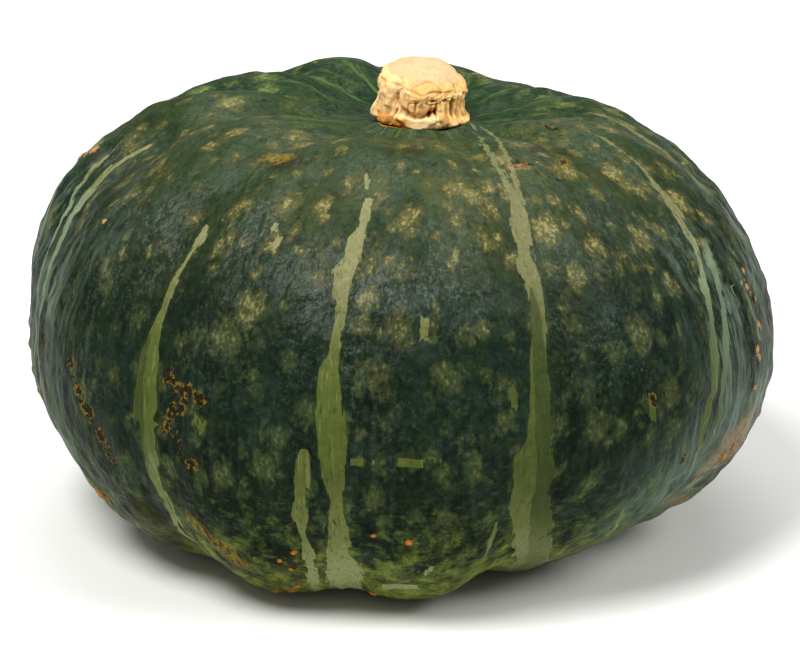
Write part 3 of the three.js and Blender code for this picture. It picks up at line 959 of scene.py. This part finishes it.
# What the mesh keeps for the rind's material: the grain's place, the rays' place, the zones, and each set of
# strokes and marks. The grain's place keeps its width better than the fruit does towards the stem, so that
# the grain is drawn out towards it.
def rindFields(polar, azimuth, radius, run, perDegree):
    full = fruitShape["halfWidth"]
    wide = full * (np.maximum(radius, 1e-3) / full) ** 0.5
    zones = [polar, 1 - ease(radius, 10, 52), 0.06 + 0.94 * flankShare(polar, azimuth)]
    fields = {
        "grainPlace": around(wide, azimuth, run / fruitRelief["grainStretch"]),
        "rayPlace": np.stack([np.sin(azimuth), np.cos(azimuth), run / 30], -1),
        "fallPlace": np.stack(zones, -1),
    }
    strokeSets = {"stripeLine": stripes, "strandLine": strands, "threadLine": threads, "shadeLine": shades}
    for name, strokes in strokeSets.items():
        fields[name] = strokeField(strokes, azimuth, polar, radius, perDegree)
    markSets = {
        "dabPlace": (dabs, 2.6),  # the marks and their reach, in half widths
        "scarPlace": (scars, 2.6),
        "wartPlace": (warts, 2.6),
        "scuffPlace": (scuffs, 2),
        "bruisePlace": (bruises, 1.6),
    }
    for name, (marks, reach) in markSets.items():
        fields[name] = markField(marks, azimuth, polar, radius, perDegree, reach)
    return fields


# The skin's relief: lumps, dents, grain and folds of layered noise, the marks' bells and the lip round the
# stem's seat, all faded out at the poles.
def fruitStand(polar, azimuth, radius, fields):
    relief = fruitRelief
    bare = fruitSkin(polar, azimuth, 0)
    stand = 0
    for size, height, seed, layers in relief["noises"]:
        stand = stand + height * layeredNoise(bare, size, seed, layers)
    size, height, seed, layers = relief["folds"]
    folds = layeredNoise(fields["grainPlace"] * np.array([1, 1, 0.14]), size, seed, layers)
    nearStem = 1 - ease(radius, 14, 46)
    foldShare = (0.25 + 0.75 * flankShare(polar, azimuth) + 0.6 * nearStem) * ease(radius, 13, 20)
    stand = stand + height * folds * foldShare
    stand = stand + relief["wartHeight"] * markBell(fields["wartPlace"])
    stand = stand - relief["scarDepth"] * markBell(fields["scarPlace"])
    height, middle, width, rise, fall = relief["seatLip"]
    share = band(turned(np.degrees(azimuth)), rise, fall) + 0.4
    stand = stand + height * share * np.exp(-(((radius - middle) / width) ** 2))
    return stand * ease(polar, 0, 0.1) * (1 - ease(polar, 3.0, math.pi)) - relief["inset"]


# The fruit's skin on its grid of polar angles and azimuths, brought onto the solid's box. Gives back the move
# that it made, in millimetres.
def makeFruit():
    shape = fruitShape
    ends, counts = zip((0, 1), *shape["rowBands"])
    rows = np.interp(np.arange(sum(counts)), np.cumsum(counts) - 1, ends)
    turns = np.linspace(0, 2 * math.pi, shape["columns"], endpoint=False)
    polar, azimuth = np.meshgrid(rows, turns, indexing="ij")
    radius, height = smoothProfile(polar, azimuth)
    stepDown = np.hypot(np.gradient(radius, axis=0), np.gradient(height, axis=0))
    run = np.cumsum(stepDown, axis=0) - stepDown[:1]
    perDegree = np.maximum(stepDown / np.degrees(np.gradient(rows))[:, None], 0.2)
    fields = rindFields(polar, azimuth, radius, run, perDegree)
    skin = fruitSkin(polar, azimuth, fruitStand(polar, azimuth, radius, fields))
    for end in (0, -1):
        skin[end] = skin[end].mean(axis=0)

    low, high = (np.array(corner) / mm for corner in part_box("fruit"))
    middle = (skin.min((0, 1)) + skin.max((0, 1))) / 2
    move = np.array([*((low + high) / 2 - middle)[:2], low[2] - skin[..., 2].min()])
    skin = skin + move
    room = (high - low)[:2] / (skin.max((0, 1)) - skin.min((0, 1)))[:2]
    centre = ((low + high) / 2)[:2]
    skin[..., :2] = centre + (skin[..., :2] - centre) * np.minimum(room, 1)
    piece = closedMesh("fruit_skin", skin, fields, rindFinish())
    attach(piece, "root")
    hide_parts("fruit")
    print("fruit made:", len(piece.data.polygons), "faces")
    return move


fruitMove = makeFruit()


# The stem's shape, in millimetres.
stemShape = {
    "gap": 0.3,  # above the floor of the fruit's dimple
    "lean": 0.09,  # towards +X, for each millimetre up
    "profile": [
        (0, 0), (6, 0), (10.4, 0), (11.5, 1), (11.4, 2.4), (10.8, 3.8), (10.4, 5.6), (10.5, 7.6),
        (10.5, 9.4), (10.1, 11.1), (8.9, 12.5), (6.6, 13.5), (3.4, 14.2), (0, 14.5),
    ],
    "ridges": [(5, 0.04, 0.6), (8, 0.03, 1.9)],  # how many, how high, and the first crest's turn
    "slant": (0.24, 0.34),  # how much the cut top falls for each millimetre towards the front, and towards +X
    "cutEase": (5.5, 12.6),  # the heights between which the slant sets in
    "wave": (0.22, 67),  # how uneven the cut is, and its seed
    "inset": 0.5,  # how much the sides give way to the relief
    "columns": 360,
    "rows": 190,
    # ridges in the cork: how tightly each noise is packed round and up the stem, its height and its seed
    "uprights": [((3.2, 3.2, 0.9), 0.85, 41), ((8.5, 8.5, 1.6), 0.4, 47)],
    "lumps": (2.6, 0.4, 53),  # size, height and seed
    "creases": ((1.9, 1.9, 4.2), 0.13, 0.42, 77),  # sizes, width, depth and seed
    "collar": (1.4, 0.8),  # height and width of the roll at the front
    "groove": (1.7, 0.6, 1.6),  # depth and width of the groove above it, and how far above
    "foot": (1.3, 0.9, 1.4),  # height, width and level of the roll on the right
}

# Pits in the cork: azimuth and height, half width, half height and depth, in degrees and millimetres.
stemPits = [
    (-42, 6.6, 0.5, 1.6, 1.1), (-58, 9.4, 0.6, 0.7, 0.9), (-8, 5.4, 0.3, 1.9, 0.7), (11, 3.6, 0.5, 1.6, 1.2),
    (20, 4.2, 0.35, 1.7, 1.1), (32, 7.2, 0.6, 0.6, 1.1), (45, 5.2, 0.55, 2.6, 1.7), (66, 8.4, 0.4, 1.2, 1),
    (-33, 9.7, 0.5, 0.4, 0.8), (14, 7.2, 0.7, 0.4, 0.9), (-52, 3.4, 0.6, 0.9, 1.2), (-66, 3, 1, 1.6, 1.5),
    (-40, 3.4, 0.5, 0.8, 1.6), (-30, 3.6, 0.4, 0.6, 1.2), (96, 4.6, 0.5, 2.2, 1.4), (118, 7, 0.6, 1.2, 1.1),
    (137, 4.4, 0.5, 2, 1.4), (158, 6.6, 0.4, 1.8, 1), (176, 3.6, 0.8, 1, 1.3), (199, 5.8, 0.5, 2.4, 1.4),
    (222, 7.6, 0.5, 0.9, 1), (238, 4, 0.6, 1.6, 1.4), (262, 6, 0.45, 2, 1.2), (281, 3.2, 0.7, 1, 1.3),
]


# Height of the stem's surface above its smooth profile, by azimuth and height: upright ridges of
# stretched noise, lumps, bell-shaped pits, and a rolled collar with a groove above it at the front.
def corkRelief(azimuth, height, onSide):
    shape = stemShape

    # a bell of the height's distance from a level
    def bell(level, width):
        return np.exp(-(((height - level) / width) ** 2))

    degrees = np.degrees(azimuth)
    ring = np.stack([np.sin(azimuth), np.cos(azimuth), height / 14], -1)
    stand = 0
    for packing, strength, seed in shape["uprights"]:
        stand = stand + strength * layeredNoise(ring * np.array(packing), 1, seed, 2)
    place = around(10, azimuth, height)
    size, strength, seed = shape["lumps"]
    stand = stand * onSide + strength * layeredNoise(place, size, seed, 3) * (0.2 + 0.8 * onSide)
    sizes, width, creaseDepth, seed = shape["creases"]
    creases = np.exp(-((latticeNoise(place / np.array(sizes), seed) / width) ** 2))
    front = band(turned(degrees), (-36, -24), (14, 26))
    sag = 2.9 - 1.3 * np.exp(-((turned(degrees + 4) / 15) ** 2))
    collarHeight, collarWidth = shape["collar"]
    collar = front * bell(sag, collarWidth)
    stand = stand - creaseDepth * creases * onSide * (1 - collar) * (1 - 0.85 * ease(height, 6.5, 9.5))
    deep = np.zeros_like(stand)
    for turn, level, halfWidth, halfHeight, depth in stemPits:
        side = np.radians(turned(degrees - turn)) * 10.5
        far = (side / halfWidth) ** 2 + ((height - level) / halfHeight) ** 2
        deep = np.maximum(deep, depth * np.exp(-(far**1.3)))
    depth, width, above = shape["groove"]
    roll = collarHeight * collar - depth * front * bell(sag + above, width)
    strength, width, level = shape["foot"]
    foot = band(turned(degrees), (34, 48), (100, 120)) * strength * bell(level, width)
    notches = latticeNoise(ring * np.array([5.5, 5.5, 0]) + 3, 61)
    edge = (0.1 + 0.35 * notches) * bell(11.8, 0.8) - 0.22 * (1 + notches) * bell(10.6, 0.5)
    stand = stand + roll * onSide + foot * onSide - deep * onSide + edge
    soft = stand
    for _ in range(40):  # spreads the heights, so that what is left below them is a hollow
        beside = np.roll(soft, 1, axis=1) + np.roll(soft, -1, axis=1)
        soft = (2 * soft + beside + np.roll(soft, 1, axis=0) + np.roll(soft, -1, axis=0)) / 6
    # the second result is how hollow each point lies, which the cork's colour darkens as painted shade
    return stand, np.maximum(deep * 0.7, (soft - stand) * 1.8)


# The cork's colours, as hex codes, its roughness and its gloss.
corkLook = {
    "cork": "d9ad6c",
    "pale": "e8c68c",
    "shade": "ae7a3c",
    "crackAndHollowShade": "5e3312",
    "cutTop": "b29e7e",
    "stain": "b87a26",
    "vein": "a06c2c",
    "plate": "c99d5e",
    "roll": "fbdba4",
    "topBrown": "b98f58",
    "topDot": "94693a",
    "paintedLightLeftSide": "efcd96",
    "roughness": 0.8,
    "gloss": 0.2,
}


# The cork's paints: fibres and lumps of noise, with painted shade that darkens the fibres' grooves and the
# hollows that the mesh keeps, painted light on the left side and on the front's roll, and veins where noise
# passes its middle.
def corkPaints(spot, ring, fibre, lump, fine, deep, side, level):
    yield lump.ramp(0.45, 0.7) * 0.7, "pale"
    # painted shade in the fibres' grooves, the deepest in the colour of the cracks
    yield fibre.ramp(0.52, 0.3) * side * 0.55, "shade"
    yield fibre.ramp(0.36, 0.27) * side * 0.7, "crackAndHollowShade"
    yield (1 - side) * 0.8, "cutTop"
    yield (1 - side) * lump.ramp(0.48, 0.7) * 0.5, "topBrown"
    yield (1 - side) * fine.ramp(0.6, 0.75) * 0.4, "topDot"
    # painted shade: the hollows that the mesh keeps are darkened, the deepest nearly to the colour of the
    # cracks
    hollow = deep + (fine - 0.5) * 0.3
    yield hollow.ramp(0.08, 0.5) * 0.6, "shade"
    yield hollow.ramp(0.5, 1.1) * 0.85, "crackAndHollowShade"
    yield fine.ramp(0.62, 0.8) * side * 0.4, "shade"
    leftward, forward, _ = ring.stretched((-1, -1, 0)).parts()
    veins = abs(spot.noise(2, 3, 0.6, (4, 1, 6)) - 0.5).ramp(0.035, 0.005)
    yield veins * (0.22 + 0.28 * side), "vein"
    rim = (level + (lump - 0.5) * 1.6).ramp(13.5, 12.4) * (1 - side)
    yield rim * 0.4, "plate"
    yield rim * fine.ramp(0.5, 0.62) * 0.6, "vein"
    # the front: a lens-shaped plate under the cut, a painted highlight that makes the roll at the foot paler,
    # and sap beside the roll
    plateFar = (((leftward + 0.5) / 3.7) ** 2 + ((level - 10.9) / 2) ** 2) ** 0.5 + (lump - 0.5) * 0.5
    onFront = forward.ramp(4, 7)
    yield plateFar.ramp(1.05, 0.85) * onFront * 0.85, "plate"
    yield abs(plateFar - 1).ramp(0.12, 0.03) * onFront * 0.6, "vein"
    # painted light: the stem's left side, which faces the key lamp, is painted paler
    yield leftward.ramp(1, 7) * side * 0.45, "paintedLightLeftSide"
    # painted highlight: the collar roll under the overhang is painted paler than the cork
    roll = (level + (lump - 0.5)).ramp(4, 2.8) * forward.ramp(6, 9)
    roll = roll * leftward.ramp(6, 4) * leftward.ramp(-5, -3)
    yield roll * 0.6, "roll"
    stain = (level + (lump - 0.5) * 3).ramp(3.2, 2.2) * leftward.ramp(1, 3.5) * forward.ramp(1, 5)
    yield stain * (0.6 + 0.5 * fine), "stain"


# The cork: its paints over its own colour, with fibres, lumps and crumbs that also make its height.
def corkFinish():
    look = corkLook
    material, pen = newFinish("stem cork", look)
    spot = pen.node("ShaderNodeTexCoord", output="Object").stretched((1 / mm,) * 3)
    deep, side, level = pen.kept("corkZone").parts()
    ring = pen.kept("ringPlace")
    fibre = ring.stretched((1, 1, 0.12)).noise(0.9, 3, 0.65)
    lump = spot.noise(2.4, 3, 0.6)
    fine = spot.noise(0.5, 3, 0.7)
    colour = pen.plain("cork").layered(corkPaints(spot, ring, fibre, lump, fine, deep, side, level))
    height = fibre * (0.35 * side) + lump * 0.25 + fine * 0.14
    finishSurface(pen, colour, look["roughness"] + 0.1 * fine, height, look["gloss"])
    return material


# The stem on a grid of outline points and azimuths: the profile, wavy by its ridges and moved out by its
# relief, then lowered where the slanted cut takes it, and kept inside the solid's box.
def makeStem(move):
    shape = stemShape
    knots = np.array(shape["profile"], float)
    legs = np.concatenate([[0], np.cumsum(np.hypot(*np.diff(knots, axis=0).T))])
    fine = np.linspace(0, legs[-1], shape["rows"])
    outline = np.stack([np.interp(fine, legs, knots[:, i]) for i in (0, 1)], -1)
    for _ in range(6):  # rounds the corners between the knots
        outline[1:-1] = (outline[:-2] + 2 * outline[1:-1] + outline[2:]) / 4
    turns = np.linspace(0, 2 * math.pi, shape["columns"], endpoint=False)
    radius, azimuth = np.meshgrid(outline[:, 0], turns, indexing="ij")
    height = np.repeat(outline[:, 1:], shape["columns"], axis=1)
    along = np.gradient(outline, axis=0)
    outward, upward = (part[:, None] for part in (along[:, 1], -along[:, 0]) / np.hypot(*along.T))
    onSide = ease(outward, 0.35, 0.85) * np.ones_like(radius)
    relief, deep = corkRelief(azimuth, height, onSide)
    relief = relief * ease(radius, 0, 2)
    ridges = sum(share * np.cos(count * azimuth + first) for count, share, first in shape["ridges"])
    radius = radius * (1 + ridges) + outward * (relief - shape["inset"])
    level = height + upward * np.minimum(relief, 0.3)
    seat = smoothProfile(np.zeros(1), np.zeros(1))[1][0]
    base = seat * fullness(radius, azimuth) + shape["gap"]
    point = placed(np.maximum(radius, 0), azimuth, base + level)
    point[..., 0] += shape["lean"] * level
    forward, aside = radius * np.cos(azimuth), radius * np.sin(azimuth)
    slantForward, slantAside = shape["slant"]
    slant = slantForward * np.maximum(forward - 1.5, 0) + slantAside * np.maximum(aside - 3, 0)
    roughness, seed = shape["wave"]
    place = np.stack([3 * np.sin(azimuth), 3 * np.cos(azimuth), 0 * azimuth], -1)
    point[..., 2] -= slant * (1 + roughness * latticeNoise(place, seed)) * ease(height, *shape["cutEase"])
    for end in (0, -1):
        point[end] = point[end].mean(axis=0)
    point = point + move
    low, high = (np.array(corner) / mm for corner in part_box("stem"))
    point = np.clip(point, low, high)
    fields = {"corkZone": np.stack([deep, onSide, height], -1), "ringPlace": around(11, azimuth, height)}
    piece = closedMesh("stem_cork", point, fields, corkFinish())
    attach(piece, "root")
    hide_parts("stem")
    print("stem made:", len(piece.data.polygons), "faces")


makeStem(fruitMove)


# Floor, light and camera, in metres and watts.
studio = {
    "floorColour": "d8d8d5",
    "floorRadius": 6,
    "skyColour": (1, 1, 0.98),
    "skyStrength": 0.35,
    # name: azimuth, elevation, distance, size, power
    "lamps": {
        "key": (-36, 56, 1.6, 0.7, 34),
        "fill": (66, 40, 1.7, 0.8, 19),
        "top": (170, 70, 1.9, 1.4, 16),
    },
    "cameraElevation": 19,
    "cameraDistance": 0.9,
    "lens": 167.8,
    "aim": (0.14, 0.08, 47.2),  # what the camera looks at, in millimetres
}


# A direction from the middle of the fruit.
def direction(azimuth, elevation):
    a, e = math.radians(azimuth), math.radians(elevation)
    return Vector((math.sin(a) * math.cos(e), -math.cos(a) * math.cos(e), math.sin(e)))


# A round floor, an even sky, disc lamps that face the fruit, and a camera with a long lens.
def makeStudio():
    world = bpy.data.worlds.new("studio")
    world.use_nodes = True
    background = world.node_tree.nodes["Background"]
    background.inputs["Color"].default_value = (*studio["skyColour"], 1)
    background.inputs["Strength"].default_value = studio["skyStrength"]
    bpy.context.scene.world = world

    material, pen = newFinish("studio floor", studio)
    spot = pen.node("ShaderNodeTexCoord", output="Object")
    colour = pen.plain("floorColour")
    finishSurface(pen, colour, 0.9 + 0.05 * spot.noise(0.2), spot.noise(0.01) * 0.01, 0.1)
    turns = np.linspace(0, 2 * math.pi, 64, endpoint=False)
    rim = studio["floorRadius"] * np.stack([np.cos(turns), np.sin(turns), 0 * turns], -1)
    mesh = bpy.data.meshes.new("floor")
    mesh.from_pydata(rim.tolist(), [], [list(range(64))])
    mesh.materials.append(material)
    floor = bpy.data.objects.new("floor", mesh)
    bpy.context.scene.collection.objects.link(floor)

    middle = Vector((0, 0, 0.05))
    for name, (azimuth, elevation, distance, size, power) in studio["lamps"].items():
        lamp = bpy.data.lights.new(name, "AREA")
        lamp.shape = "DISK"
        lamp.size = size
        lamp.energy = power
        holder = bpy.data.objects.new(name, lamp)
        holder.location = middle + direction(azimuth, elevation) * distance
        holder.rotation_euler = direction(azimuth, elevation).to_track_quat("Z", "Y").to_euler()
        bpy.context.scene.collection.objects.link(holder)

    camera = bpy.data.cameras.new("camera")
    camera.lens = studio["lens"]
    camera.sensor_width = 36
    holder = bpy.data.objects.new("camera", camera)
    view = direction(0, studio["cameraElevation"])
    holder.location = Vector(studio["aim"]) * mm + view * studio["cameraDistance"]
    holder.rotation_euler = view.to_track_quat("Z", "Y").to_euler()
    bpy.context.scene.collection.objects.link(holder)
    bpy.context.scene.camera = holder
    bpy.context.scene.view_settings.view_transform = "Standard"
    print("studio made")


makeStudio()
